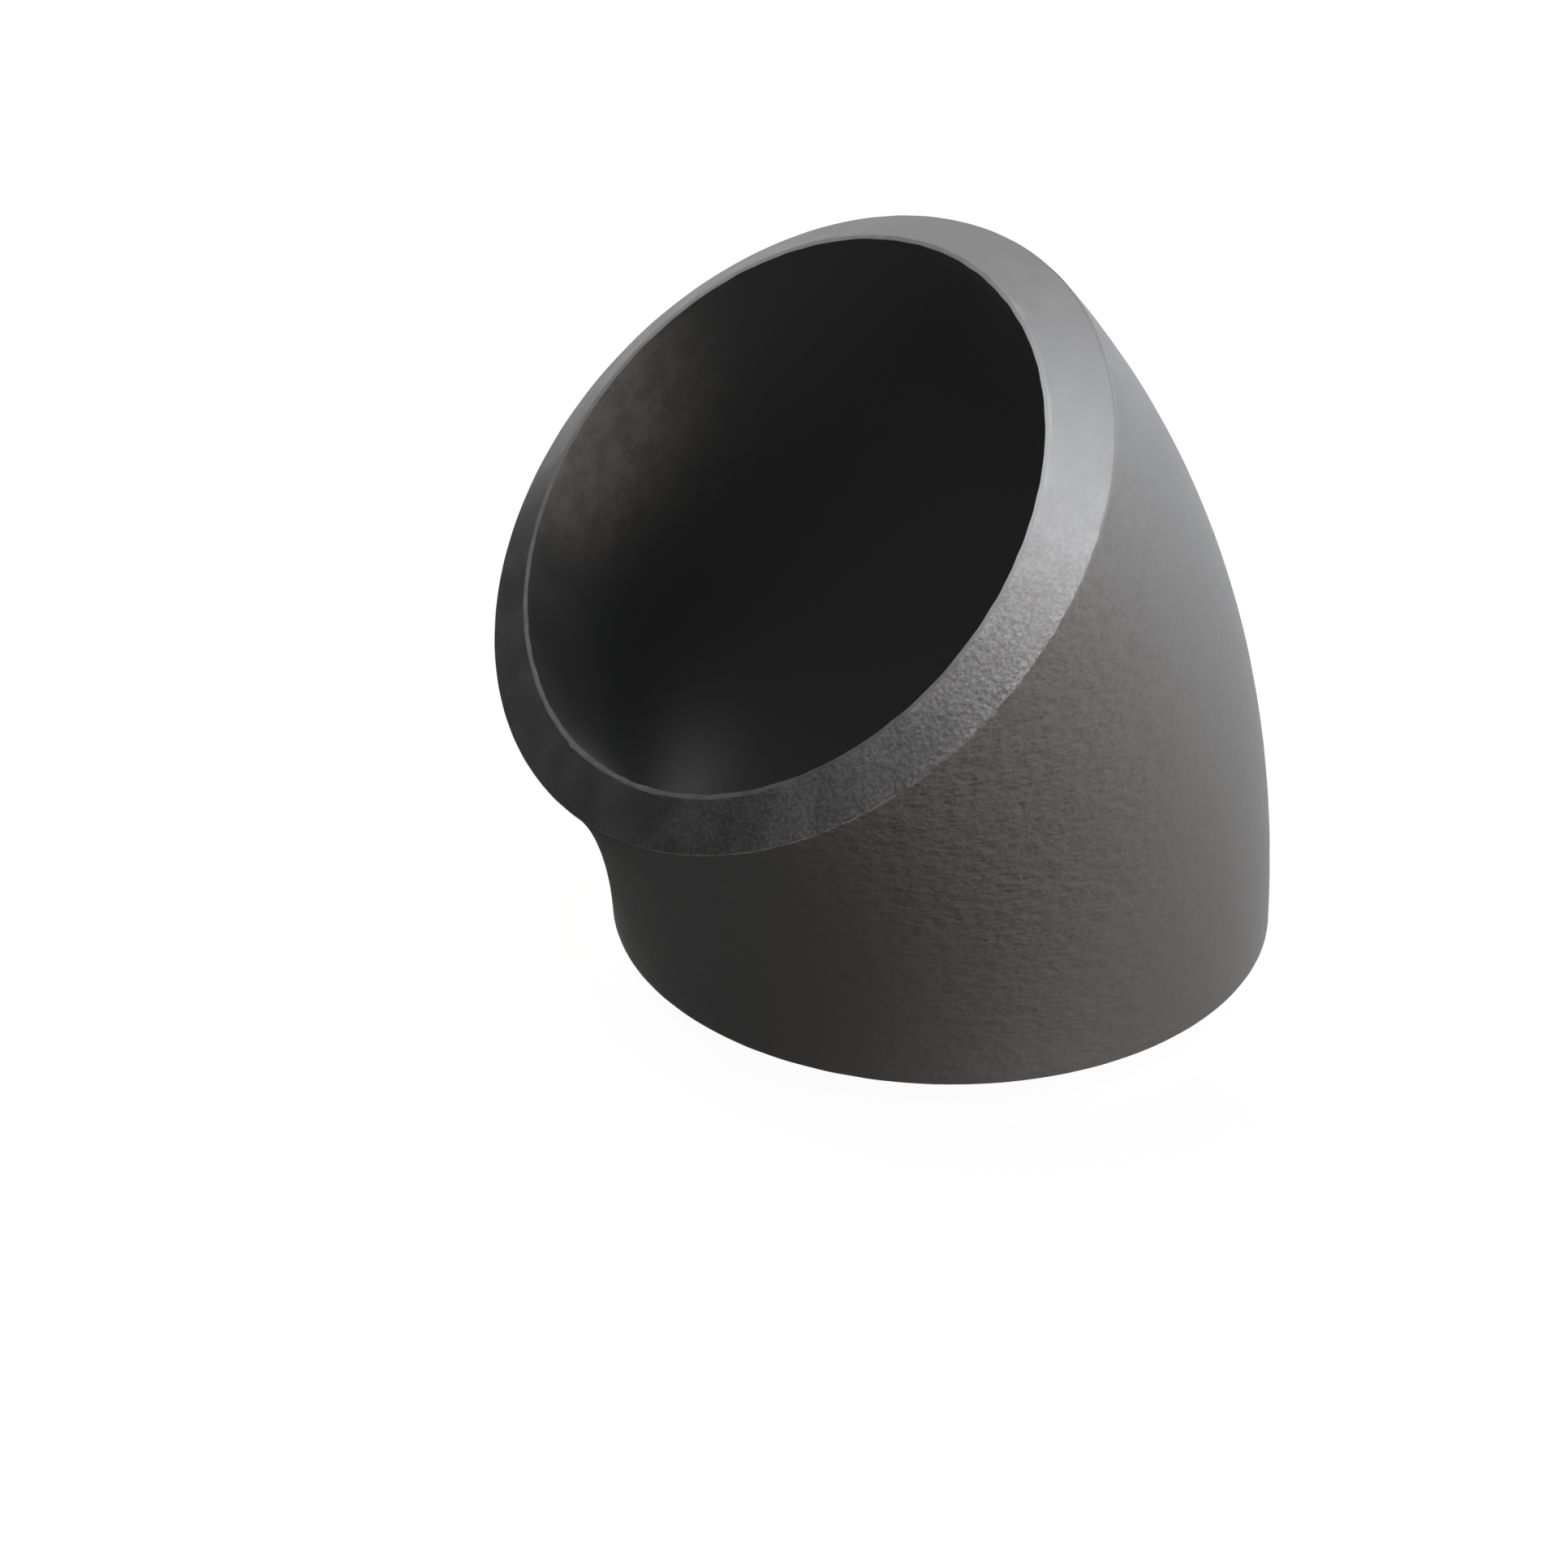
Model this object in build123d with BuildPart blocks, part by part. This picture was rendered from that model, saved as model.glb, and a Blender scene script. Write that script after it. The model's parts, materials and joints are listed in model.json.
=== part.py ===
from build123d import *
import os
from math import radians, tan

# A long-radius 45 degree bend that is welded into a run of DN 32 steel pipe. It is one piece: a length of tube,
# bent hot to an arc, with both ends faced square and bevelled for the weld.
# It stands on its lower end. The centre of that end is the origin, the pipe there runs along +Z, and the bend
# turns towards -Y.

# Driving dimensions, in millimetres and degrees
outside_diameter = 42.4  # the same as the pipe's
wall = 3.4  # of the tube, even all round
bend_radius = 48.0  # of the centreline: 1.5 times the nominal size
bend_angle = 45.0  # between the axes of the two pipes
bevel_angle = 30.0  # between the weld bevel and the end's face
root_face = 0.3  # width of the flat ring that is left between the bevel and the bore

# How far the bevel's cutter overruns the surfaces that it cuts
cutter_overrun = 1.0

outside_radius = outside_diameter / 2
bore_radius = outside_radius - wall
bevel_start_radius = bore_radius + root_face
bevel_slope = tan(radians(bevel_angle))
cutter_radius = outside_radius + cutter_overrun

bend_axis = Axis((0, -bend_radius, 0), (1, 0, 0))


def bevel_profile_plane(end):
    """Gives the plane through the axis of an end, with its x along a radius and its y out of the end."""
    return Plane(end.origin, x_dir=end.x_dir, z_dir=-end.y_dir)


with BuildPart() as pipe_bend:
    # The tube: a ring carried round the bend's axis
    with BuildSketch(Plane.XY) as tube_section:
        Circle(outside_radius)
        Circle(bore_radius, mode=Mode.SUBTRACT)
    revolve(axis=bend_axis, revolution_arc=bend_angle)

    # The weld bevels: a cone about the axis of each end, which leaves the root face beside the bore
    for end_face in pipe_bend.faces().filter_by(GeomType.PLANE):
        end = Plane(end_face)
        with BuildSketch(bevel_profile_plane(end)) as bevel_profile:
            with BuildLine():
                Polyline(
                    (bevel_start_radius - cutter_overrun / bevel_slope, cutter_overrun),
                    (cutter_radius, -(cutter_radius - bevel_start_radius) * bevel_slope),
                    (cutter_radius, cutter_overrun),
                    close=True,
                )
            make_face()
        revolve(axis=Axis(end.origin, end.z_dir), mode=Mode.SUBTRACT)

pipe_bend.part.label = "pipe_bend"

os.makedirs("parts", exist_ok=True)
export_step(pipe_bend.part, "parts/pipe_bend.step")

centre_to_end = bend_radius * tan(radians(bend_angle / 2))
print("volume, mm3:", round(pipe_bend.part.volume, 1))
print("from the meeting point of the two axes to each end, mm:", round(centre_to_end, 2))
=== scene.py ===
# %% [markdown]
# # A pipe bend, ready for welding
# The real object is a short length of steel tube that was bent hot to 45 degrees. Both ends were then faced
# off and turned to a slope, so that the weld has a groove to fill. It is one piece of steel, so the scene
# has one piece too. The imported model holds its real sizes. This script reads them, works out the same form
# again with the small unevenness of a made thing, and gives it the dull dark skin of blasted steel.

# %% Load the fixed frame
import json
import bpy
import numpy as np
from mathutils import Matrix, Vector


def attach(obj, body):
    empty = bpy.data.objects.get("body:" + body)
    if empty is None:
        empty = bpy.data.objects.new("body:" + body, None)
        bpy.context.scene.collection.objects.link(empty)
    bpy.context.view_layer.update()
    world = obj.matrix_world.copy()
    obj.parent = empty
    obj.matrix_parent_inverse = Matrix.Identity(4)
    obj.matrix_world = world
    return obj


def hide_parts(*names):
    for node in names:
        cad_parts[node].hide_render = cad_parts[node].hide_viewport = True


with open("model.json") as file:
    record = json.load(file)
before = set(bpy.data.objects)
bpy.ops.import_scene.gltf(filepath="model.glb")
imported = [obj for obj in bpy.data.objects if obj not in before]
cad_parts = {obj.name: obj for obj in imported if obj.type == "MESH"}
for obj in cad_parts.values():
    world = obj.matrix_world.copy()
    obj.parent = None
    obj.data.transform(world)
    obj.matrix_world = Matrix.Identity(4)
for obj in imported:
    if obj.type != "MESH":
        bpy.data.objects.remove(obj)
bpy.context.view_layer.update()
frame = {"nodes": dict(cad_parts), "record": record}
print("nodes:", sorted(frame["nodes"]))

# %% [markdown]
# ## The sizes come from the model
# A scene that repeats a model's sizes by hand goes wrong when the model changes. So the bend's angle and
# radius are worked out from the upper weld end's place and direction, and the bore and the root face from
# the ring of points that the bend stands on. Lengths are in millimetres until the mesh is made, because
# small numbers of metres are hard to read.

# %% Read the sizes
MM = 0.001
on_the_floor = 0.01  # points lower than this are on the lower face
bevel_angle = np.radians(30)  # of a European weld end, from the plane of its face

cad_mesh = frame["nodes"]["pipe_bend"].data
cad_points = np.empty(len(cad_mesh.vertices) * 3)
cad_mesh.vertices.foreach_get("co", cad_points)
cad_points = cad_points.reshape(-1, 3) / MM

upper_end = next(m for m in frame["record"]["mounts"] if m["name"] == "upper_weld_end")
bend_angle = np.arccos(upper_end["axis"][2])
bend_radius = upper_end["pos_m"][2] / MM / np.sin(bend_angle)
foot = cad_points[cad_points[:, 2] < on_the_floor]
foot_reach = np.hypot(foot[:, 0], foot[:, 1])
bore_radius = foot_reach.min()
root_face = foot_reach.max() - bore_radius
outside_radius = cad_points[:, 0].max()
bevel_depth = (outside_radius - bore_radius - root_face) * np.tan(bevel_angle)
print(f"bend {np.degrees(bend_angle):.1f} degrees at {bend_radius:.2f} mm, outside {outside_radius:.2f}, "
      f"bore {bore_radius:.2f}, root face {root_face:.2f}, bevel depth {bevel_depth:.2f} mm")

# %% [markdown]
# ## A tube carried round a bend
# The form is a grid of two parameters. One goes round the tube: 0 is on the outside of the bend, a quarter
# turn on is the +X side. The other goes along the closed outline of the wall's section: up the outside,
# over the bevel and the root face, down the bore, and over the lower end back to the start. Both close on
# themselves, so the mesh is a closed skin, like a ring doughnut's, with no seam and no pole. It could also
# be swept with a curve and cut with Booleans, but those leave long thin faces at the cuts, just where the
# light shows them.

# %% Places on the tube
steps_around = 640
around = np.linspace(0, 2 * np.pi, steps_around, endpoint=False)


def on_tube(turn, out, sideways):
    """Gives points of a tube that is carried round the bend.

    In words: go out from the bend's axis by the bend radius plus `out`, turned up from the floor by the angle
    `turn`, and then `sideways` along the axis, which is X.
    """
    reach = bend_radius + out
    sideways = np.broadcast_to(sideways, np.broadcast(turn, reach).shape)
    return np.stack([sideways, reach * np.cos(turn) - bend_radius, reach * np.sin(turn)], axis=-1)


def turn_to_face(out, depth, tilt):
    """Gives how far before an end face a line along the tube stops, as an angle about the bend's axis.

    In words: the face goes through the centreline's end and is tilted there by `tilt`. The line runs at the
    distance `out` from the centreline, and stops `depth` behind the face.
    """
    return np.arcsin((bend_radius * np.sin(tilt) + depth * np.cos(tilt)) / (bend_radius + out)) - tilt


spacing = 2 * np.pi * outside_radius / steps_around
print(f"{steps_around} lines round the tube, {spacing:.2f} mm apart on the outside")

# %% [markdown]
# ## Ends that were cut by hand and eye
# A drawing has square ends, a round bore and an even bevel. A real bend has none of these quite: the hot
# tube goes a little oval as it bends, the saw runs off, and the bevelling tool follows the outside, not the
# bore. The upper end is the one in view, so it gets these small errors. The lower end stays as drawn,
# because the bend stands on it.

# %% The upper end as it was made
face_tilt = np.radians(-1.5)  # the face stands a little high on the inside of the bend
bore_shift = 0.14  # of the bore's centre, towards the outside of the bend
bore_oval = 0.17  # longer on the line across the bend
bore_oval_turned = -0.17  # and on the line at 45 degrees to it
bevel_deeper_outside = 0.475  # the bevel runs deeper on the outside of the bend
bevel_deeper_side = -0.26  # and less deep on the +X side

upper_bore = bore_radius + bore_oval * np.cos(2 * around) + bore_oval_turned * np.sin(2 * around)
upper_bevel = bevel_depth + bevel_deeper_outside * np.cos(around) + bevel_deeper_side * np.sin(around)


def upper_ring(radius, shift, depth):
    """Gives a closed line round the upper end, from its radius, its shift and its depth behind the face."""
    out = shift + radius * np.cos(around)
    return on_tube(bend_angle - turn_to_face(out, depth, face_tilt), out, radius * np.sin(around))


def lower_ring(radius, depth):
    """Gives a closed line round the lower end, which is as drawn."""
    out = radius * np.cos(around)
    return on_tube(turn_to_face(out, depth, 0.0), out, radius * np.sin(around))


print(f"bevel from {upper_bevel.min():.2f} to {upper_bevel.max():.2f} mm deep, "
      f"bore radius from {upper_bore.min():.2f} to {upper_bore.max():.2f} mm")

# %% [markdown]
# ## Six runs make the section
# Each run of the outline is a function of a number from 0 to 1, worked out for all the lines round the tube
# at once. The wall and the bore follow the bend. The bevels and root faces are straight from one ring to
# the next. More rows go where the eye looks: on the upper bevel, and on the wall close under it.

# %% The runs of the section
wall_edge_up = upper_ring(outside_radius, 0.0, upper_bevel)
root_edge_up = upper_ring(upper_bore + root_face, bore_shift, 0.0)
rim_up = upper_ring(upper_bore, bore_shift, 0.0)
rim_low = lower_ring(bore_radius, 0.0)
root_edge_low = lower_ring(bore_radius + root_face, 0.0)
wall_edge_low = lower_ring(outside_radius, bevel_depth)


def outer_wall(share):
    """The outside, from the lower bevel's edge to the upper one's, in even steps of the turn."""
    out = outside_radius * np.cos(around)
    low = turn_to_face(out, bevel_depth, 0.0)
    high = bend_angle - turn_to_face(out, upper_bevel, face_tilt)
    return on_tube(low + (high - low) * share, out, outside_radius * np.sin(around))


def bore_wall(share):
    """The bore, from the upper rim to the lower one: its oval and its shift fade out on the way down."""
    made = 1 - share
    radius = bore_radius + (upper_bore - bore_radius) * made
    out = bore_shift * made + radius * np.cos(around)
    start = bend_angle - turn_to_face(bore_shift + upper_bore * np.cos(around), 0.0, face_tilt)
    return on_tube(start * made, out, radius * np.sin(around))


def straight(first, last):
    """A run that is straight from one ring to another."""
    return lambda share: first + (last - first) * np.asarray(share)[..., None]


runs = [  # each with its zone, its number of rows, and how much they crowd towards its end
    ("wall", outer_wall, 62, 1.5),
    ("bevel", straight(wall_edge_up, root_edge_up), 22, 1.0),
    ("root", straight(root_edge_up, rim_up), 2, 1.0),
    ("bore", bore_wall, 34, 1.0),
    ("root", straight(rim_low, root_edge_low), 2, 1.0),
    ("bevel", straight(root_edge_low, wall_edge_low), 8, 1.0),
]
print("rows in the runs:", [(zone, count) for zone, _, count, _ in runs])

# %% [markdown]
# ## Edges are never quite sharp
# Blasting knocks the top off every edge. So each corner of the section is cut back a little along both of
# its runs and bridged by a short curve, which leaves the first run and enters the second without a kink. It
# is narrow, but it catches the light, and without it the ends look like paper.

# %% Join the runs with worn corners
corner_cut = [0.07, 0.035, 0.05, 0.05, 0.035, 0.07]  # back from each run's end, in the order of the runs
corner_zones = ["wall", "root", "bore", "bore", "root", "wall"]
corner_rows = 3
length_samples = 9


def run_length(run):
    """The mean length of a run, measured along its rows."""
    shares = np.linspace(0, 1, length_samples)
    sampled = np.array([run(np.full(steps_around, share)) for share in shares])
    return np.linalg.norm(np.diff(sampled, axis=0), axis=2).sum(axis=0).mean()


rows = []
zones = []
edge_rows = []
lengths = [run_length(run) for _, run, _, _ in runs]
for i, (zone, run, count, crowd) in enumerate(runs):
    begin = corner_cut[i - 1] / lengths[i]
    end = 1 - corner_cut[i] / lengths[i]
    steps = 1 - (1 - np.linspace(0, 1, count)) ** crowd
    for share in begin + (end - begin) * steps:
        rows.append(run(np.full(steps_around, share)))
        zones.append(zone)
    following = runs[(i + 1) % len(runs)][1]
    before = rows[-1]
    corner = run(np.ones(steps_around))
    after = following(np.full(steps_around, corner_cut[i] / lengths[(i + 1) % len(runs)]))
    edge_rows.append(len(rows) + corner_rows // 2)
    for s in np.linspace(0, 1, corner_rows + 2)[1:-1]:
        rows.append((1 - s) ** 2 * before + 2 * s * (1 - s) * corner + s ** 2 * after)
        zones.append(corner_zones[i])

grid = np.array(rows)
zones = np.array(zones)
print(f"grid of {grid.shape[0]} rows by {grid.shape[1]}, {2 * grid.shape[0] * grid.shape[1]} triangles")

# %% [markdown]
# ## How far it is to an edge
# Wear belongs to edges, so each row of the grid has to know how far it is from each of the six. The way is
# measured along the section's outline, from row to row, and the shorter way round counts.

# %% Measure along the section
steps_along = np.linalg.norm(np.diff(grid, axis=0, append=grid[:1]), axis=2).mean(axis=1)
section_length = steps_along.sum()
section_place = steps_along.cumsum() - steps_along
gap = np.abs(section_place[:, None] - section_place[edge_rows][None, :])
gap = np.minimum(gap, section_length - gap)
print(f"the section is {section_length:.1f} mm round, with edges at {section_place[edge_rows].round(1)} mm")

# %% [markdown]
# ## Edges that aren't quite lines
# The edges of the upper end wander. The bevel's outer edge is a little crumbled, the thin root face is
# wider here and narrower there, and in one place the tool left a burr. A wave that goes a whole number of
# times round closes on itself, so a sum of such waves makes an uneven line without a seam. It moves the
# points at the edge itself, and less with every tenth of a millimetre away from it, so the faces on both
# sides stay smooth.

# %% Three ways to say where
bevel_edge, root_edge, rim_edge = 0, 1, 2  # the upper end's edges, in the order of the runs


def ragged(fewest, most, waves, seed):
    """An uneven line round the tube of about unit height: the mean of waves that go whole times round."""
    random = np.random.default_rng(seed)
    times = random.integers(fewest, most, waves)[:, None]
    late = random.uniform(0, 2 * np.pi, (waves, 1))
    return np.sin(times * around + late).sum(axis=0) * np.sqrt(2 / waves)


def near(edge, reach):
    """1 at an edge of the section, falling off like a bell over `reach` millimetres to both sides of it."""
    return np.exp(-(gap[:, edge] / reach) ** 2)[:, None, None]


def side(facing, width, height=1.0):
    """`height` on the side that faces `facing`, falling off like a bell over `width`, both in degrees."""
    apart = np.degrees(np.angle(np.exp(1j * (around - np.radians(facing)))))
    return height * np.exp(-(apart / width) ** 2)


# %% Move the edges of the upper end
crumbled = side(facing=112, width=52, height=0.016) * ragged(fewest=30, most=120, waves=30, seed=2)
root_unevenness = 0.017
rim_unevenness = 0.012
root_wander = root_unevenness * ragged(fewest=8, most=60, waves=24, seed=3)
rim_wander = rim_unevenness * ragged(fewest=12, most=70, waves=24, seed=1)

burr_turn = np.radians(190)  # where the burr is, round the tube
burr_reach = 0.15  # out over the bevel
burr_length = 0.3  # half of its length round the rim
from_burr = np.angle(np.exp(1j * (around - burr_turn))) * bore_radius
root_wander = root_wander + burr_reach * np.exp(-(from_burr / burr_length) ** 2)

outward = root_edge_up - rim_up
outward = outward / np.linalg.norm(outward, axis=1, keepdims=True)  # in the plane of the face
grid = grid + near(bevel_edge, reach=0.22) * (outward * crumbled[:, None])
grid = grid + near(root_edge, reach=0.2) * (outward * root_wander[:, None])
grid = grid + near(rim_edge, reach=0.14) * (outward * rim_wander[:, None])
print(f"root face edge moved from {root_wander.min():.2f} to {root_wander.max():.2f} mm")

# %% [markdown]
# ## The blasted surface has real lumps
# Shot leaves shallow dents that run into each other. A sum of many waves that cross in all directions looks
# like that, has no seam on any form, and is quick to work out for whole arrays. The larger dents go into
# the mesh, and the finer grain, which is smaller than the mesh's faces, is left to the material.

# %% Push the surface in and out
dent_height = {"wall": 0.004, "bevel": 0.003, "root": 0.002, "bore": 0.004}
dent_size = 2.2
shortest, longest = 0.75, 1.35  # of the waves that make the dents, as shares of the size
clear_of_floor = 1.5  # the dents fade out below this height, because the bend stands on a flat face


def grid_normals(points):
    """The outward direction at each point: square to both lines of the grid that cross there."""
    across = np.roll(points, -1, axis=1) - np.roll(points, 1, axis=1)
    along = np.roll(points, -1, axis=0) - np.roll(points, 1, axis=0)
    direction = np.cross(along, across)
    return direction / np.linalg.norm(direction, axis=2, keepdims=True)


def dents(points, size, waves, seed):
    """A bumpy field of about unit height: the mean of many waves about `size` long, in random directions."""
    random = np.random.default_rng(seed)
    total = np.zeros(points.shape[:-1])
    for _ in range(waves):
        direction = random.normal(size=3)
        direction /= np.linalg.norm(direction)
        length = size * random.uniform(shortest, longest)
        total += np.sin(points @ direction * (2 * np.pi / length) + random.uniform(0, 2 * np.pi))
    return total * np.sqrt(2 / waves)


heights = np.array([dent_height[zone] for zone in zones])[:, None]
fade = np.clip(grid[..., 2] / clear_of_floor, 0, 1)
push = heights * fade * dents(grid, dent_size, waves=40, seed=4)
dented = grid - grid_normals(grid) * push[..., None]
print(f"dents from {push.min():.3f} to {push.max():.3f} mm deep")

# %% [markdown]
# ## Marks on the outside
# A finish has to know where it is on the part, and a point's place in space alone doesn't tell it. So each
# point of the mesh carries marks of its own, which the finishes read. The first is how far it is from the
# bevels' outer edges, in millimetres. The others go from 0 to 1, and are soft bells round the tube that
# grow or fade on the way up. The blast left its print where it faced the nozzle: on the +X side, and on the
# back when the bend was turned over. The first of these took the most rust. One mark makes the skin paler
# high and low on the right, and along the left edge that paler band is a painted sheen. Another is painted
# shade that darkens the skin low down, most of all on the left, towards the foot.

# %% Work out the marks on the outside
outer_edges = [0, 5]  # the two bevels' outer edges, in the order of the runs
everywhere = np.ones(grid.shape[:2])
along = np.arctan2(grid[..., 2], grid[..., 1] + bend_radius) * bend_radius
up_the_tube = np.clip(along / (bend_angle * bend_radius), 0, 1)
print_at_foot = 0.6  # of the print that the blast left at the top
rust_missing_at_top = 0.6

blasted_front = side(facing=112, width=52) * (print_at_foot + (1 - print_at_foot) * up_the_tube)
blasted_back = side(facing=311, width=48, height=0.7)
# Paler high up on the right, and low down on the right.
paler_high = side(facing=68, width=20, height=0.7) * up_the_tube ** 2
paler_low = side(facing=116, width=22, height=0.35) * (1 - up_the_tube) ** 4
# Painted sheen: the left edge is painted paler to stand for the light along it.
painted_sheen_left = side(facing=225, width=28, height=0.7) * up_the_tube
# Painted shade: the skin is painted darker towards the foot, most of all on the left.
painted_shade_left = side(facing=195, width=45) * (1 - up_the_tube) ** 2
painted_shade_right = side(facing=52, width=26, height=0.27) * (1 - up_the_tube)
painted_shade_low = side(facing=84, width=20, height=0.25) * (1 - up_the_tube) ** 2

marks = {
    "from_bevel": gap[:, outer_edges].min(axis=1)[:, None] * everywhere,
    "blasted": np.maximum(blasted_front, blasted_back),
    "rusted": side(facing=124, width=44) * (1 - rust_missing_at_top * up_the_tube),
    "paler_and_painted_sheen": paler_high + paler_low + painted_sheen_left,
    "painted_shade_foot": painted_shade_left + painted_shade_right + painted_shade_low,
}
print("marks of the outside:", ", ".join(marks))

# %% [markdown]
# ## Marks on the ends and in the bore
# The bevel was pecked by the shot on the nozzle's side, and on the far side it is darkened with painted
# shade. The root face and the bevels' outer edge carry a painted reflection: bright round the tube where a
# glossy ring would mirror the lamps. In the bore, near the upper mouth across from the nozzle, a patch of
# painted light stands for the light that shines in there, and beside it is painted shade, which counts as
# less than 0. Near the lower mouth one pale patch is a painted highlight.

# %% Work out the marks on the ends and in the bore
upper_fades = 9.0  # millimetres down the bore
# Where the painted highlight low in the bore sits.
painted_highlight_depth = 33.0
painted_highlight_reach = 6.0

below_mouth = bend_angle * bend_radius - along
# Painted light near the upper mouth, where light shines into the bore, less painted shade beside it.
mouth_light_and_shade_painted = side(facing=268, width=27) - side(facing=214, width=24, height=0.6)
lower_painted_highlight = side(facing=240, width=17)
# Painted reflection: how bright the root face and the bevels' outer edge are painted round the tube.
reflection_round_painted = side(facing=58, width=38, height=0.95) + side(facing=310, width=45, height=0.34)
reflection_round_painted = reflection_round_painted + side(facing=5, width=30, height=0.1) + side(facing=215, width=60, height=0.15)
marks["pecked"] = side(facing=124, width=54) * everywhere
# Painted shade on the bevel's far side.
marks["painted_shade_far_side"] = side(facing=316, width=55) * everywhere
marks["reflection_painted"] = np.clip(reflection_round_painted, 0, 1) * everywhere
marks["mouth_light_and_shade_painted"] = mouth_light_and_shade_painted * np.exp(-(below_mouth / upper_fades) ** 2)
marks["lower_painted_highlight"] = lower_painted_highlight * np.exp(-((below_mouth - painted_highlight_depth) / painted_highlight_reach) ** 2)
print("all marks:", {name: f"{mark.min():.2f} to {mark.max():.2f}" for name, mark in marks.items()})

# %% [markdown]
# ## From the grid to a mesh
# The grid's points and faces go into the mesh as whole arrays, which takes a moment where a loop would take
# minutes. Each point of the grid starts one four-sided face, with its neighbours to the right and above.
# The last row and column join up with the first. A face looks towards whoever sees its corners go round
# against the clock, so they are named in the order that turns every face outwards, and the volume is
# printed to prove it: an inside-out skin would give less than 0. The faces know their zone, and the points
# carry the marks.

# %% Make the mesh
zone_names = ["wall", "bevel", "root", "bore"]
zone_index = np.array([zone_names.index(zone) for zone in zones])


def enclosed(points):
    """The volume inside a closed grid: the sum of the wedges from the origin to each of its faces."""
    right = np.roll(points, -1, axis=1)
    up = np.roll(points, -1, axis=0)
    far = np.roll(up, -1, axis=1)
    wedges = np.cross(up, far) + np.cross(far, right)
    return (points * wedges).sum() / 6


def mesh_from_grid(name, points, zone_index):
    """Makes a closed mesh of four-sided faces from a grid that joins up with itself both ways."""
    row_count, column_count = points.shape[:2]
    index = np.arange(row_count * column_count).reshape(row_count, column_count)
    right = np.roll(index, -1, axis=1)
    up = np.roll(index, -1, axis=0)
    corners = np.stack([index, up, np.roll(right, -1, axis=0), right], axis=-1).reshape(-1, 4)
    mesh = bpy.data.meshes.new(name)
    mesh.vertices.add(row_count * column_count)
    mesh.vertices.foreach_set("co", (points * MM).ravel())
    mesh.loops.add(corners.size)
    mesh.loops.foreach_set("vertex_index", corners.ravel())
    mesh.polygons.add(len(corners))
    mesh.polygons.foreach_set("loop_start", np.arange(0, corners.size, 4))
    mesh.polygons.foreach_set("material_index", np.repeat(zone_index, column_count))
    mesh.polygons.foreach_set("use_smooth", np.ones(len(corners), bool))
    mesh.update(calc_edges=True)
    mesh.validate()
    return mesh


bend_mesh = mesh_from_grid("blasted_bend", dented, zone_index)
for mark_name, mark in marks.items():
    attribute = bend_mesh.attributes.new(mark_name, "FLOAT", "POINT")
    attribute.data.foreach_set("value", mark.ravel())
bend = bpy.data.objects.new("blasted_bend", bend_mesh)
bpy.context.scene.collection.objects.link(bend)
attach(bend, "root")
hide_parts("pipe_bend")
print(f"{bend.name}: {len(bend_mesh.vertices)} points, {len(bend_mesh.polygons)} faces, "
      f"volume {enclosed(dented):.0f} cubic millimetres")

# %% [markdown]
# ## Short ways to write a finish
# A finish is a small net of nodes: places go in, patterns come out, and the patterns drive colour,
# roughness and relief. The same few steps come up each time, so a helper writes them. Sizes are in
# millimetres of the real surface, because the places are too, and so a pattern's size can be read off the
# part with a ruler.

# %% A helper for finishes


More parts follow.
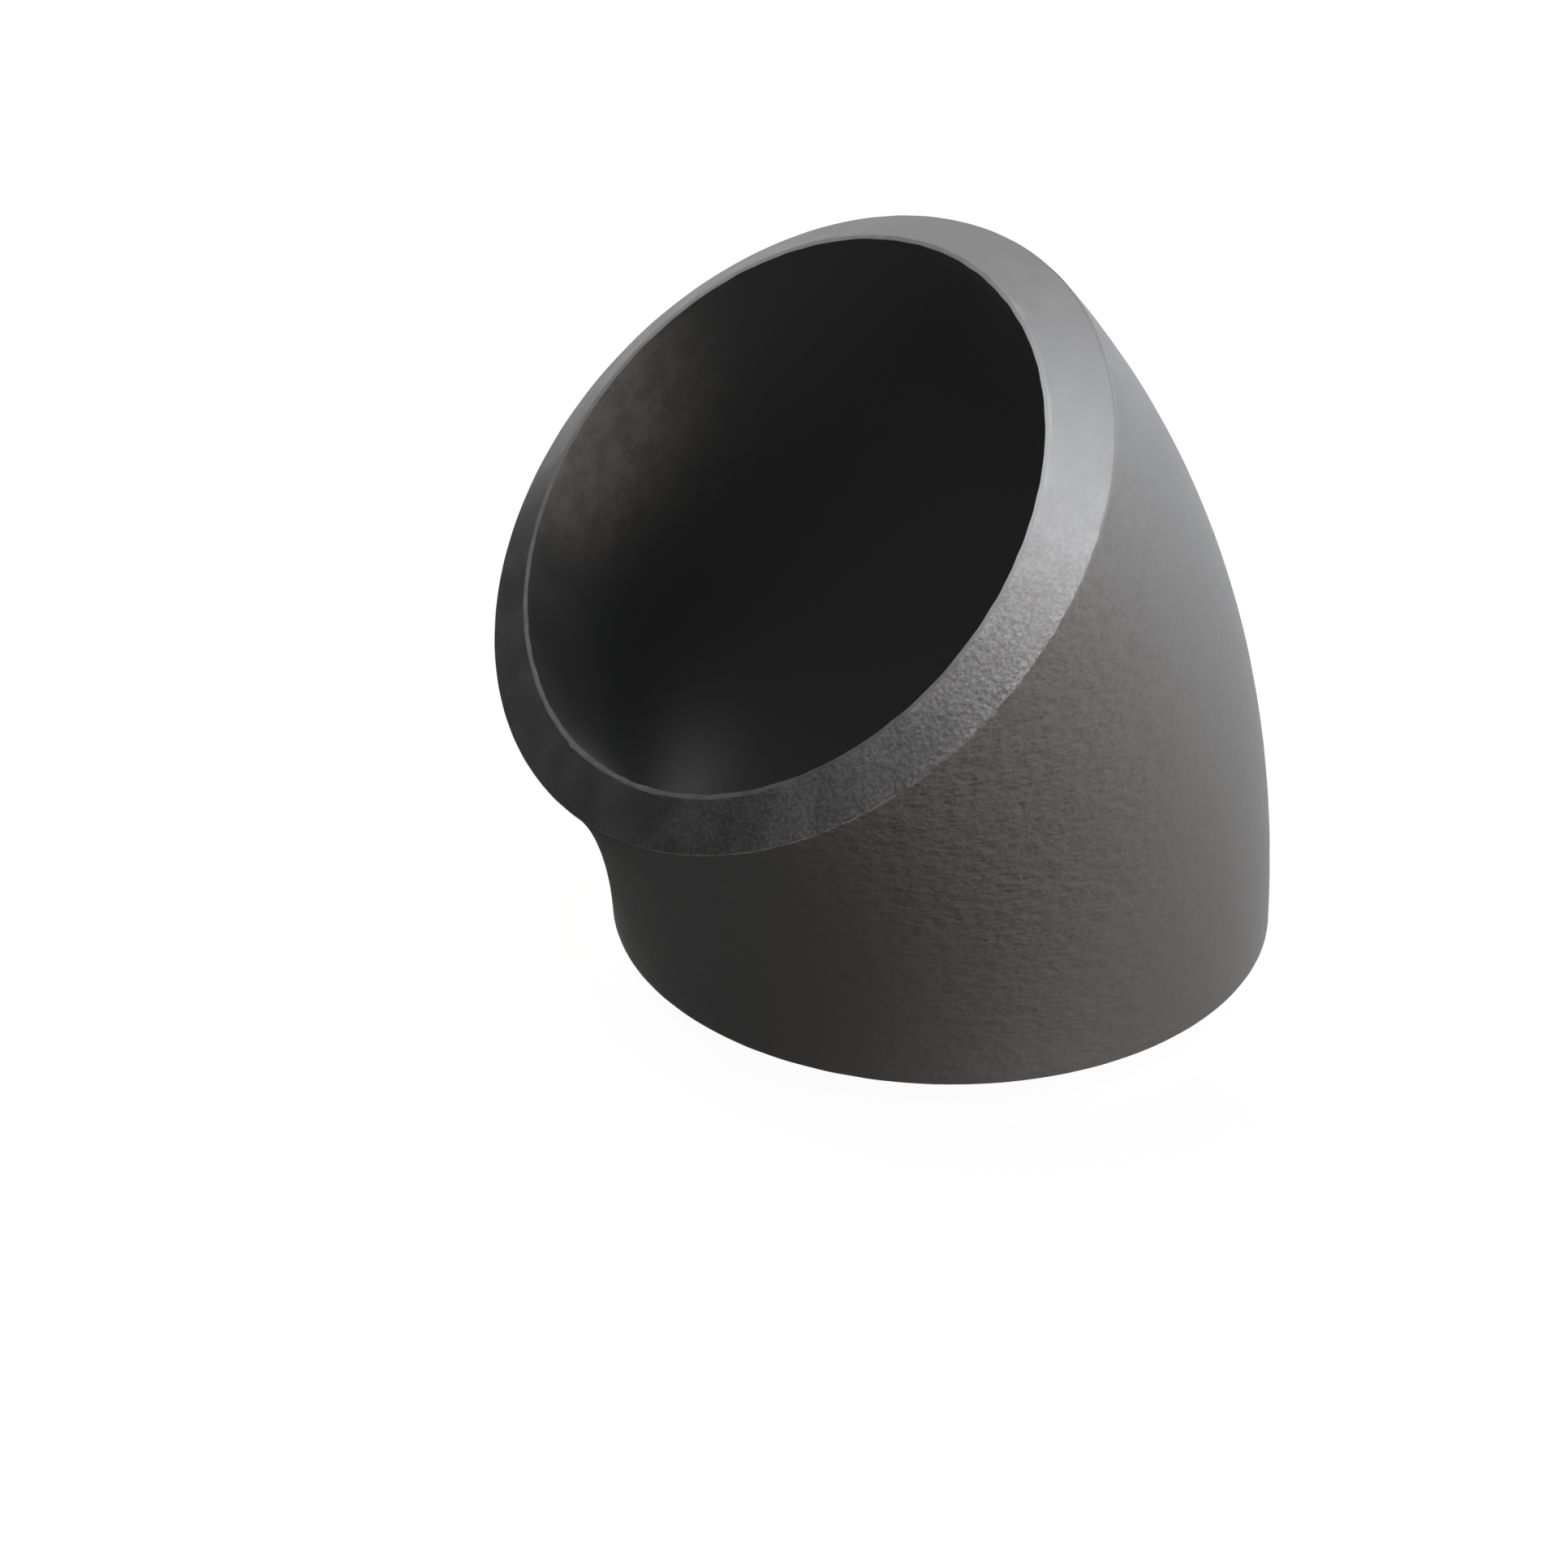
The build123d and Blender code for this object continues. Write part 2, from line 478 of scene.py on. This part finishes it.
class Finish:
    """A material, and short ways to add the nodes that the finishes share."""

    def __init__(self, name, roughness, metallic, specular):
        self.material = bpy.data.materials.new(name)
        self.material.use_nodes = True
        self.tree = self.material.node_tree
        self.shader = self.tree.nodes["Principled BSDF"]
        self.shader.inputs["Roughness"].default_value = roughness
        self.shader.inputs["Metallic"].default_value = metallic
        self.shader.inputs["Specular IOR Level"].default_value = specular

    def node(self, kind, inputs, **settings):
        """Adds a node. Each input is a number, a colour or another node's output."""
        made = self.tree.nodes.new(kind)
        for setting, value in settings.items():
            setattr(made, setting, value)
        for socket, value in inputs.items():
            if isinstance(value, bpy.types.NodeSocket):
                self.tree.links.new(value, made.inputs[socket])
            else:
                made.inputs[socket].default_value = value
        return made

    def put(self, socket, value):
        """Links a value to one of the shader's own sockets."""
        self.tree.links.new(value, self.shader.inputs[socket])

    def place(self, squeeze=1.0):
        """The place on the part, in millimetres; `squeeze` flattens a pattern from top to bottom."""
        point = self.node("ShaderNodeTexCoord", {}).outputs["Object"]
        scale = (1 / MM, 1 / MM, squeeze / MM)
        return self.node("ShaderNodeMapping", {"Vector": point, "Scale": scale}).outputs["Vector"]

    def mark(self, name):
        """One of the marks that the mesh carries."""
        return self.node("ShaderNodeAttribute", {}, attribute_name=name).outputs["Fac"]

    def near(self, mark_name, reach):
        """1 on the edge that the mark is measured from, falling to 0 at `reach` millimetres away."""
        return self.between(self.mark(mark_name), 0.0, reach, 1.0, 0.0)

    def cloud(self, place, size, detail=2.0, roughness=0.5):
        """A soft cloudy pattern from 0 to 1, with lumps about `size` millimetres across."""
        inputs = {"Vector": place, "Scale": 1 / size, "Detail": detail, "Roughness": roughness}
        return self.node("ShaderNodeTexNoise", inputs).outputs[0]

    def warped(self, place, amount, size):
        """The place moved about by up to half of `amount` millimetres, in lumps of the given size."""
        cloud = self.node("ShaderNodeTexNoise", {"Vector": place, "Scale": 1 / size}).outputs["Color"]
        moved = self.node("ShaderNodeVectorMath", {0: cloud, "Scale": amount}, operation="SCALE").outputs[0]
        return self.node("ShaderNodeVectorMath", {0: place, 1: moved}, operation="ADD").outputs[0]

    def spots(self, place, size, reach):
        """Scattered soft spots from 0 to 1, one to each cell of `size` millimetres; `reach` is in cells."""
        cells = self.node("ShaderNodeTexVoronoi", {"Vector": place, "Scale": 1 / size})
        return self.between(cells.outputs["Distance"], 0.0, reach, 1.0, 0.0)

    def between(self, value, low, high, first=0.0, last=1.0):
        """Turns a value from `low` to `high` into one from `first` to `last`, with soft ends."""
        inputs = {"Value": value, "From Min": low, "From Max": high, "To Min": first, "To Max": last}
        return self.node("ShaderNodeMapRange", inputs, interpolation_type="SMOOTHSTEP").outputs[0]

    def sum_of(self, first, second, share):
        """The first value plus `share` times the second."""
        inputs = {0: second, 1: share, 2: first}
        return self.node("ShaderNodeMath", inputs, operation="MULTIPLY_ADD").outputs[0]

    def times(self, first, second):
        """One value times another."""
        return self.node("ShaderNodeMath", {0: first, 1: second}, operation="MULTIPLY").outputs[0]

    def blend(self, share, first, second):
        """Goes from the first colour to the second as `share` goes from 0 to 1."""
        inputs = {"Factor": share, "A": first, "B": second}
        return self.node("ShaderNodeMix", inputs, data_type="RGBA").outputs["Result"]

    def relief(self, height, depth, strength):
        """Shades a pattern as relief `depth` millimetres deep, by a strength from 0 to 1."""
        inputs = {"Height": height, "Distance": depth * MM, "Strength": strength}
        return self.node("ShaderNodeBump", inputs).outputs["Normal"]

    def report(self):
        """Prints how many nodes the finish has so far."""
        print(f"{self.material.name}: {len(self.tree.nodes)} nodes")


# %% [markdown]
# ## The blasted skin
# The outside was blasted with shot after it was bent. That leaves a dull dark grey, cloudy where the mill
# scale came off unevenly, with short shallow pits. Such a skin scatters light more like stone than like
# bright metal, so it isn't metallic. Three patterns make it. Clouds of seven millimetres vary the grey and
# the roughness. Lumps under a millimetre are the print of the shot, in relief and as a mottle. Short lying
# dashes, in patches, are the pits.

# %% Patterns of the outside
skin = Finish("blasted_skin", roughness=0.65, metallic=0.0, specular=0.15)
blasted = skin.mark("blasted")
clouds = skin.cloud(skin.place(), size=7.0, detail=3.0, roughness=0.6)
lumps = skin.cloud(skin.place(squeeze=1.5), size=0.85, detail=2.0, roughness=0.55)
patches = skin.cloud(skin.place(squeeze=0.7), size=2.4, detail=2.0)
uneven_place = skin.warped(skin.place(squeeze=2.3), amount=0.5, size=0.35)
dashes = skin.spots(uneven_place, size=0.8, reach=0.45)
pitted = skin.times(skin.between(patches, low=0.3, high=0.55), skin.between(blasted, low=0.3, high=0.9))
pits = skin.times(dashes, pitted)
skin.report()

# %% [markdown]
# ## Colours of the skin
# The colours go on in layers, each blended over the last by a pattern or a mark: the cloudy grey, a brown
# tint where bare steel took a breath of rust, the paler places with the painted sheen, the painted shade
# low down, and then the pits and the mottle. Last comes a hair's breadth along the bevels' edges. There it
# is dark, or bright with a painted reflection, and on the nozzle's side the blast broke it into light crumbs.

# %% Colour of the outside
skin_grey = (0.176, 0.173, 0.17, 1)
skin_light = (0.19, 0.187, 0.184, 1)
skin_brown = (0.186, 0.17, 0.156, 1)
# The pale colour, which along the left edge is a painted sheen.
skin_paler_and_sheen = (0.25, 0.249, 0.251, 1)
# Nearly black, for the painted shade towards the foot.
skin_painted_shade = (0.035, 0.035, 0.035, 1)
skin_pit = (0.14, 0.125, 0.112, 1)
skin_bright = (0.25, 0.24, 0.225, 1)
pit_share = 0.6

colour = skin.blend(skin.between(clouds, low=0.35, high=0.65), skin_grey, skin_light)
colour = skin.blend(skin.between(skin.mark("rusted"), low=0.05, high=0.75), colour, skin_brown)
# Blends in the paler places, with the painted sheen on the left edge.
colour = skin.blend(skin.mark("paler_and_painted_sheen"), colour, skin_paler_and_sheen)
# Blends in the painted shade towards the foot.
colour = skin.blend(skin.mark("painted_shade_foot"), colour, skin_painted_shade)
colour = skin.blend(skin.times(pits, pit_share), colour, skin_pit)
mottle_share = skin.between(blasted, low=0.2, high=1.0, first=0.1, last=0.38)
colour = skin.blend(skin.times(skin.between(lumps, low=0.52, high=0.36), mottle_share), colour, skin_pit)
skin.report()

# %% Edges and relief of the outside
edge_dull = (0.035, 0.035, 0.035, 1)
# The bright end of the painted reflection along the bevels' outer edge.
edge_painted_reflection = (0.29, 0.29, 0.295, 1)
pits_in_relief = -0.22  # as a share of the lumps' height, and downwards

edge_colour = skin.blend(skin.between(skin.mark("reflection_painted"), low=0.18, high=0.9), edge_dull, edge_painted_reflection)
unbroken = skin.between(skin.mark("pecked"), low=0.5, high=1.0, first=1.0, last=0.0)
colour = skin.blend(skin.times(skin.near("from_bevel", reach=0.13), unbroken), colour, edge_colour)
broken = skin.times(blasted, skin.between(lumps, low=0.4, high=0.6))
edge_crumbs = skin.times(skin.near("from_bevel", reach=0.15), broken)
relief_strength = skin.between(blasted, low=0.35, high=1.0, first=0.08, last=1.0)
height = skin.sum_of(lumps, pits, pits_in_relief)
skin.put("Base Color", skin.blend(edge_crumbs, colour, skin_bright))
skin.put("Roughness", skin.between(clouds, low=0.3, high=0.7, first=0.61, last=0.69))
skin.put("Normal", skin.relief(height, depth=0.18, strength=relief_strength))
skin.report()

# %% [markdown]
# ## The bevel
# The bevel was turned to bare steel and then caught the blast as well. Fresh steel takes the shot's print
# better than scale does, so its grain is finer and crisper: a crowd of dimples a third of a millimetre
# across with specks between them, strongest on the side of the nozzle and hardly there across from it. It
# is still bare metal under the grain, so this finish is metallic. The dimples hold a little dirt, the far
# side is darkened with painted shade, and the outer edge has light crumbs where the blast broke it.

# %% Finish of the bevels
bevel = Finish("blasted_bevel", roughness=0.45, metallic=1.0, specular=0.5)
bevel_steel = (0.234, 0.233, 0.239, 1)
bevel_dark = (0.17, 0.16, 0.159, 1)
# Darker steel for the painted shade on the far side.
bevel_painted_shade = (0.175, 0.174, 0.177, 1)
bevel_crumb = (0.285, 0.275, 0.25, 1)
specks_in_relief = 0.6  # as a share of the dimples' height

pecked = bevel.mark("pecked")
dimples = bevel.cloud(bevel.place(), size=0.33, detail=2.0)
specks = bevel.cloud(bevel.place(), size=0.24, detail=3.0, roughness=0.6)
patches = bevel.cloud(bevel.place(), size=3.0, detail=2.0)
grain_share = bevel.between(pecked, low=0.15, high=0.8, first=0.05, last=1.0)
dirt_share = bevel.times(bevel.between(specks, low=0.62, high=0.36), grain_share)
colour = bevel.blend(dirt_share, bevel_steel, bevel_dark)
# Blends in the painted shade on the far side.
colour = bevel.blend(bevel.mark("painted_shade_far_side"), colour, bevel_painted_shade)
broken = bevel.times(pecked, bevel.between(specks, low=0.5, high=0.62))
crumbs = bevel.times(bevel.near("from_bevel", reach=0.9), broken)
height = bevel.sum_of(dimples, specks, specks_in_relief)
bevel.put("Base Color", bevel.blend(crumbs, colour, bevel_crumb))
bevel.put("Roughness", bevel.between(patches, low=0.35, high=0.65, first=0.43, last=0.49))
bevel.put("Normal", bevel.relief(height, depth=0.023, strength=grain_share))
bevel.report()

# %% [markdown]
# ## The root face
# The root face is the thin flat ring beside the bore, where two pipes touch before they are welded. It is
# only a third of a millimetre wide, so it reads as a line that draws the rim. It is dark, and bright where
# it would mirror the lamps. A mirror that thin would flicker between black and white, so the finish is a
# dull one, and the brightness is a painted reflection: its colour goes from dark to bright by the mark.

# %% Finish of the root faces
root = Finish("root_face", roughness=0.6, metallic=0.0, specular=0.15)
root_dull = (0.035, 0.035, 0.035, 1)
# The painted reflection on the root face.
root_painted_reflection = (0.55, 0.56, 0.585, 1)
scuff_share = 0.04
root_relief_strength = 0.6

scuffs = root.cloud(root.place(), size=0.9, detail=3.0)
scuffs = root.between(scuffs, low=0.35, high=0.65, first=-0.5, last=0.5)
# The root face goes from dark to the painted reflection by the mark.
reflection_painted = root.sum_of(root.mark("reflection_painted"), scuffs, scuff_share)
root.put("Base Color", root.blend(reflection_painted, root_dull, root_painted_reflection))
root_grain = root.cloud(root.place(), size=0.3)
root.put("Normal", root.relief(root_grain, depth=0.015, strength=root_relief_strength))
root.report()

# %% [markdown]
# ## The bore
# Inside, the mill scale from the hot bend stays on: a dull skin that is nearly black. Near the upper mouth,
# across from the nozzle, a mottled brown patch is painted light, for the light that shines in there. Beside
# that place the scale is painted darker still, as painted shade, and near the lower mouth a pale grey patch
# is a painted highlight. So the colour goes from the painted brown over the painted shade to black by the
# mouth's mark, and the shade of the deep bore, which is dark in any light, does the rest.

# %% Finish of the bore
bore = Finish("bore_scale", roughness=0.66, metallic=0.0, specular=0.25)
# The mottled browns of the painted light at the upper mouth.
painted_mouth_brown = (0.255, 0.227, 0.2, 1)
painted_mouth_dim = (0.185, 0.166, 0.15, 1)
scale_black = (0.06, 0.06, 0.06, 1)
# Painted shade beside the painted light.
scale_painted_shade = (0.033, 0.032, 0.033, 1)
# A pale painted highlight near the lower mouth.
bore_painted_highlight = (0.85, 0.84, 0.835, 1)
grain_in_relief = 0.3  # as a share of the mottle's height

mottle = bore.cloud(bore.place(), size=1.5, detail=4.0, roughness=0.7)
bore_grain = bore.cloud(bore.place(), size=0.35, detail=2.0)
mouth_light_and_shade_painted = bore.mark("mouth_light_and_shade_painted")
# The share of painted light at the upper mouth, mottled brown.
mouth = bore.between(mouth_light_and_shade_painted, low=0.0, high=0.9)
brown = bore.blend(bore.between(mottle, low=0.36, high=0.62), painted_mouth_dim, painted_mouth_brown)
scale = bore.blend(bore.between(mouth_light_and_shade_painted, low=-0.5, high=0.0), scale_painted_shade, scale_black)
colour = bore.blend(mouth, scale, brown)
height = bore.sum_of(mottle, bore_grain, grain_in_relief)
relief_strength = bore.between(mouth, low=0.0, high=0.6, first=0.1, last=1.0)
# Blends in the painted highlight near the lower mouth.
bore.put("Base Color", bore.blend(bore.mark("lower_painted_highlight"), colour, bore_painted_highlight))
bore.put("Normal", bore.relief(height, depth=0.08, strength=relief_strength))
bore.report()

# %% [markdown]
# ## Which finish goes where
# The mesh's faces already carry the number of their zone. Blender takes that as the place of a material in
# the object's list, so the list only has to be in the order of the zones.

# %% Put the finishes on
for finish in (skin, bevel, root, bore):
    bend_mesh.materials.append(finish.material)
print("finishes:", dict(zip(zone_names, [material.name for material in bend_mesh.materials])))

# %% [markdown]
# ## The camera
# The bend is seen from the front and the right, from about a third of the way up to overhead. The camera is
# a little over five tube widths away, so the near rim looks clearly larger than the foot. It aims at a
# point to the left of the foot, which puts the bend where it is in the picture, with no shift of the lens.
# Everything stays sharp, because a catalogue picture is sharp all over.

# %% Camera
camera_azimuth = np.radians(49.341)  # 0 is in front, 90 on the +X side
camera_height_angle = np.radians(30.456)
camera_distance = 225.57  # millimetres, as the other lengths here
target_side = -10.134  # of the point that the camera looks at, to the right of the foot's centre
target_height = 10.172
lens = 81.177
film_width = 36
nearest_seen = 10  # nothing closer to the camera than this is drawn


def direction_of(azimuth, height_angle):
    """Gives the direction of a place seen from the part: round from the front, then up from the floor."""
    return Vector((np.sin(azimuth) * np.cos(height_angle),
                   -np.cos(azimuth) * np.cos(height_angle),
                   np.sin(height_angle)))


target_across = np.array([np.cos(camera_azimuth), np.sin(camera_azimuth)]) * target_side
target = Vector((*target_across, target_height)) * MM
towards_camera = direction_of(camera_azimuth, camera_height_angle)
camera_data = bpy.data.cameras.new("camera")
camera_data.lens = lens
camera_data.sensor_width = film_width
camera_data.clip_start = nearest_seen * MM
camera = bpy.data.objects.new("camera", camera_data)
bpy.context.scene.collection.objects.link(camera)
camera.location = target + towards_camera * camera_distance * MM
camera.rotation_euler = (-towards_camera).to_track_quat("-Z", "Y").to_euler()
bpy.context.scene.camera = camera
print("camera at", [round(value, 4) for value in camera.location], "metres")

# %% [markdown]
# ## White that hardly lights the part
# The part stands on plain white. A floor that is white for all light would throw so much of it back up that
# the dark side of the part turned pale. So the floor and the room are white only for what looks at them
# straight, in the mirror or through glass: rays from the camera, and glossy and transmission rays.

# %% White for the rays that see it


def seen_as_white(tree):
    """Gives 1 for camera, glossy and transmission rays, and 0 for the rest."""
    path = tree.nodes.new("ShaderNodeLightPath")
    camera_or_glossy = tree.nodes.new("ShaderNodeMath")
    camera_or_glossy.operation = "MAXIMUM"
    tree.links.new(path.outputs["Is Camera Ray"], camera_or_glossy.inputs[0])
    tree.links.new(path.outputs["Is Glossy Ray"], camera_or_glossy.inputs[1])
    any_of_them = tree.nodes.new("ShaderNodeMath")
    any_of_them.operation = "MAXIMUM"
    tree.links.new(camera_or_glossy.outputs[0], any_of_them.inputs[0])
    tree.links.new(path.outputs["Is Transmission Ray"], any_of_them.inputs[1])
    return any_of_them.outputs[0]


def staged(name, points, faces):
    """Makes an object of the stage, which isn't part of the bend, and a material for it."""
    mesh = bpy.data.meshes.new(name)
    mesh.from_pydata(points, [], faces)
    material = bpy.data.materials.new(name)
    material.use_nodes = True
    mesh.materials.append(material)
    made = bpy.data.objects.new(name, mesh)
    bpy.context.scene.collection.objects.link(made)
    return made, material.node_tree


# %% [markdown]
# ## The floor
# The floor is one large square just under the part. Two shaders are added up in it: a glow of its own, for
# the rays that see it as white, and a dull dark grey for the soft light that bounces about. That small
# share of grey is what shows the part's faint shadow. The two together come to just under white.

# %% Floor
floor_half = 3.0  # metres from the middle to the side
floor_level = -0.00002  # metres; under the part, so that the two never share a plane
floor_white = 0.95
floor_shade = 0.08

floor_corners = [(-floor_half, -floor_half, floor_level), (floor_half, -floor_half, floor_level),
                 (floor_half, floor_half, floor_level), (-floor_half, floor_half, floor_level)]
floor, floor_tree = staged("floor", floor_corners, [(0, 1, 2, 3)])
floor_tree.nodes.clear()
shade = floor_tree.nodes.new("ShaderNodeBsdfDiffuse")
shade.inputs["Color"].default_value = (floor_shade, floor_shade, floor_shade, 1)
glow = floor_tree.nodes.new("ShaderNodeEmission")
glow.inputs["Color"].default_value = (floor_white, floor_white, floor_white, 1)
floor_tree.links.new(seen_as_white(floor_tree), glow.inputs["Strength"])
both = floor_tree.nodes.new("ShaderNodeAddShader")
floor_tree.links.new(shade.outputs[0], both.inputs[0])
floor_tree.links.new(glow.outputs[0], both.inputs[1])
floor_output = floor_tree.nodes.new("ShaderNodeOutputMaterial")
floor_tree.links.new(both.outputs[0], floor_output.inputs["Surface"])
print(f"{floor.name} of {2 * floor_half:.0f} by {2 * floor_half:.0f} metres")

# %% [markdown]
# ## The room
# Past the floor there is only the world, which stands for the white room. It is white in the same way as
# the floor, at a strength of 1, and gives no light of its own to dull surfaces, so the lamps alone shape
# the part.

# %% The room
world = bpy.data.worlds.new("white_room")
bpy.context.scene.world = world
world.use_nodes = True
room = world.node_tree.nodes["Background"]
room.inputs["Color"].default_value = (1, 1, 1, 1)
world.node_tree.links.new(seen_as_white(world.node_tree), room.inputs["Strength"])
print("world:", world.name)

# %% [markdown]
# ## Black cloth on the dark side
# Bare steel mirrors its surroundings, if only in a blur. In a white room all of it would look white.
# Photographers keep a dark side by hanging black cloth there: over the floor beside the part, and up like a
# curtain behind it. Here it goes from the back on the left round to the front, and the camera looks through
# it. It is a grid too: one parameter is the azimuth, and the other goes out over the floor and then up.

# %% Hang the cloth
cloth_from = np.radians(264)  # azimuth where the cloth starts; 0 is in front, 90 on the +X side
cloth_to = np.radians(450)
cloth_near = 0.023  # metres from the part's middle to the cloth's near edge
cloth_far = 1.0
cloth_lift = 0.0001  # over the floor
cloth_top = 1.2
cloth_rows = 12
cloth_columns = 73
cloth_black = 0.04

cloth_turn = np.linspace(cloth_from, cloth_to, cloth_columns)
on_floor = np.geomspace(cloth_near, cloth_far, cloth_rows)
rising = np.linspace(cloth_lift, cloth_top, cloth_rows)[1:]
cloth_reach = np.concatenate([on_floor, np.full(len(rising), cloth_far)])[:, None]
cloth_height = np.concatenate([np.full(len(on_floor), cloth_lift), rising])[:, None]
cloth_points = np.stack([cloth_reach * np.sin(cloth_turn), -cloth_reach * np.cos(cloth_turn),
                         cloth_height * np.ones(cloth_columns)], axis=-1)
index = np.arange(cloth_points.shape[0] * cloth_columns).reshape(-1, cloth_columns)
cloth_faces = np.stack([index[:-1, :-1], index[:-1, 1:], index[1:, 1:], index[1:, :-1]], axis=-1)
cloth_points = cloth_points.reshape(-1, 3).tolist()
cloth, cloth_tree = staged("black_cloth", cloth_points, cloth_faces.reshape(-1, 4).tolist())
cloth.visible_camera = False
cloth.visible_shadow = False
cloth_shader = cloth_tree.nodes["Principled BSDF"]
cloth_shader.inputs["Base Color"].default_value = (cloth_black, cloth_black, cloth_black, 1)
cloth_shader.inputs["Specular IOR Level"].default_value = 0.0
print(f"cloth: {len(cloth.data.polygons)} faces, hidden from the camera and from shadows")

# %% [markdown]
# ## Soft lamps
# The light is that of a small studio: one broad soft lamp behind on the right that wraps round the tube, a
# cool one low on the right, high ones that light the bevel and the far side, one low behind to draw the far
# edges, and little from the front. Two weak ones stand for the light that a real white floor throws back on
# the dark side. That light is spread wide and never shows as a lamp in a mirror, so they are left out of
# mirrors.

# %% Lamps
lamp_distance = 0.7  # metres
part_middle = Vector((0, -0.005, 0.022))


def soft_lamp(name, azimuth, height_angle, size, watts, colour=(1.0, 1.0, 1.0), in_mirrors=True):
    """Adds a square soft lamp that faces the part from the given direction, in degrees."""
    towards = direction_of(np.radians(azimuth), np.radians(height_angle))
    data = bpy.data.lights.new(name, "AREA")
    data.size = size
    data.energy = watts
    data.color = colour
    lamp = bpy.data.objects.new(name, data)
    bpy.context.scene.collection.objects.link(lamp)
    lamp.location = part_middle + towards * lamp_distance
    lamp.rotation_euler = towards.to_track_quat("Z", "Y").to_euler()
    lamp.visible_glossy = in_mirrors
    return lamp


lamps = [
    soft_lamp("key", azimuth=128, height_angle=25, size=0.45, watts=3.4, colour=(1.0, 0.94, 0.89)),
    soft_lamp("right_low", azimuth=75, height_angle=5, size=0.3, watts=0.95, colour=(0.91, 0.95, 1.0)),
    soft_lamp("overhead", azimuth=0, height_angle=88, size=0.4, watts=0.3, colour=(0.5, 0.75, 1.0)),
    soft_lamp("high_front", azimuth=30, height_angle=65, size=0.3, watts=0.75),
    soft_lamp("back_low", azimuth=180, height_angle=6, size=0.35, watts=4.4, colour=(0.79, 0.88, 1.0)),
    soft_lamp("left_low", azimuth=300, height_angle=6, size=0.35, watts=0.05),
    soft_lamp("bounce", azimuth=318, height_angle=3, size=0.3, watts=0.6, in_mirrors=False),
    soft_lamp("bounce_back", azimuth=285, height_angle=3, size=0.3, watts=2.0, in_mirrors=False),
    soft_lamp("front_low", azimuth=14, height_angle=18, size=0.3, watts=0.11, colour=(1.0, 0.98, 1.0)),
    soft_lamp("high_left", azimuth=300, height_angle=65, size=0.3, watts=2.9, colour=(1.0, 0.97, 0.9)),
]
print("lamps:", {lamp.name: round(lamp.data.energy, 2) for lamp in lamps})

# %% [markdown]
# ## The colour view
# The plain Standard view shows a colour as it was written, so the steel keeps the grey that it was given.

# %% Finish
bpy.context.scene.view_settings.view_transform = "Standard"
